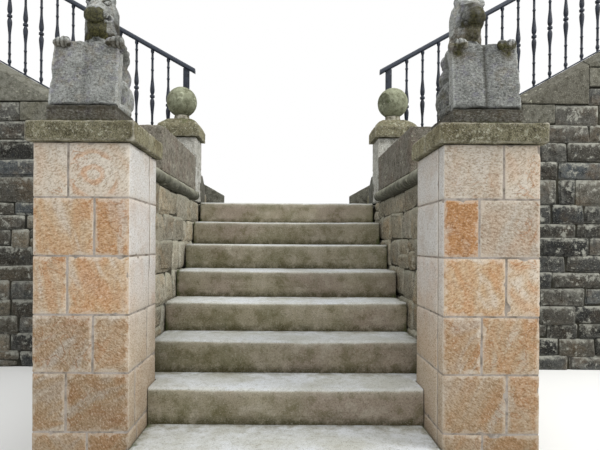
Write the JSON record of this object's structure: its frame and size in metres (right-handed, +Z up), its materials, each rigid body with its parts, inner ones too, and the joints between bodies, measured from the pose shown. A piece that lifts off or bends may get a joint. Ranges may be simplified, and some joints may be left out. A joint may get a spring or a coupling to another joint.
{
  "type": "outdoor stone steps",
  "caption": "Outdoor stone stair in a T shape: a central flight between carved-topped piers, a landing and side flights rising left and right with iron railings.",
  "frame": {"origin": "on the ground, on the stair's centre line, under the front edge of the landing", "axes": "+X to the right seen from the foot of the steps, +Y towards the back, +Z up"},
  "size_m": [6.44, 3.201, 3.489],
  "materials": {
    "step_stone": "worn grey-olive sandstone, paler where feet pass",
    "pier_sandstone": "golden and pinkish buff sandstone ashlar, pecked",
    "weathered_cap_stone": "grey-brown weathered sandstone with moss and lichen",
    "carved_stone": "grey lichened carving",
    "rear_pier_stone": "pale grey-buff sandstone",
    "rubble_stone": "grey, purple and buff rubble in lime mortar",
    "dark_rubble_stone": "dark weathered rubble with pale mortar",
    "coping_stone": "grey-buff ashlar coping",
    "side_step_stone": "worn grey sandstone",
    "railing_iron": "blue-black painted cast and wrought iron"
  },
  "bodies": {
    "root": {"step_1": "step_stone", "step_2": "step_stone", "step_3": "step_stone", "step_4": "step_stone", "step_5": "step_stone", "step_6": "step_stone", "step_7": "step_stone", "step_8": "step_stone", "landing": "step_stone", "left_front_pier": "pier_sandstone", "right_front_pier": "pier_sandstone", "left_pier_cap": "weathered_cap_stone", "right_pier_cap": "weathered_cap_stone", "left_rear_cap": "weathered_cap_stone", "right_rear_cap": "weathered_cap_stone", "left_ball": "weathered_cap_stone", "right_ball": "weathered_cap_stone", "left_string_course": "weathered_cap_stone", "right_string_course": "weathered_cap_stone", "left_parapet": "weathered_cap_stone", "right_parapet": "weathered_cap_stone", "left_beast": "carved_stone", "right_beast": "carved_stone", "left_rear_pier": "rear_pier_stone", "right_rear_pier": "rear_pier_stone", "rubble_core": "rubble_stone", "left_cheek_wall": "rubble_stone", "right_cheek_wall": "rubble_stone", "left_front_wall": "dark_rubble_stone", "right_front_wall": "dark_rubble_stone", "left_side_core": "dark_rubble_stone", "right_side_core": "dark_rubble_stone", "left_raking_coping": "coping_stone", "right_raking_coping": "coping_stone", "left_wall_string": "coping_stone", "right_wall_string": "coping_stone", "left_side_steps": "side_step_stone", "right_side_steps": "side_step_stone", "left_upper_landing": "side_step_stone", "right_upper_landing": "side_step_stone", "left_railing": "railing_iron", "right_railing": "railing_iron"}
  },
  "joints": []
}
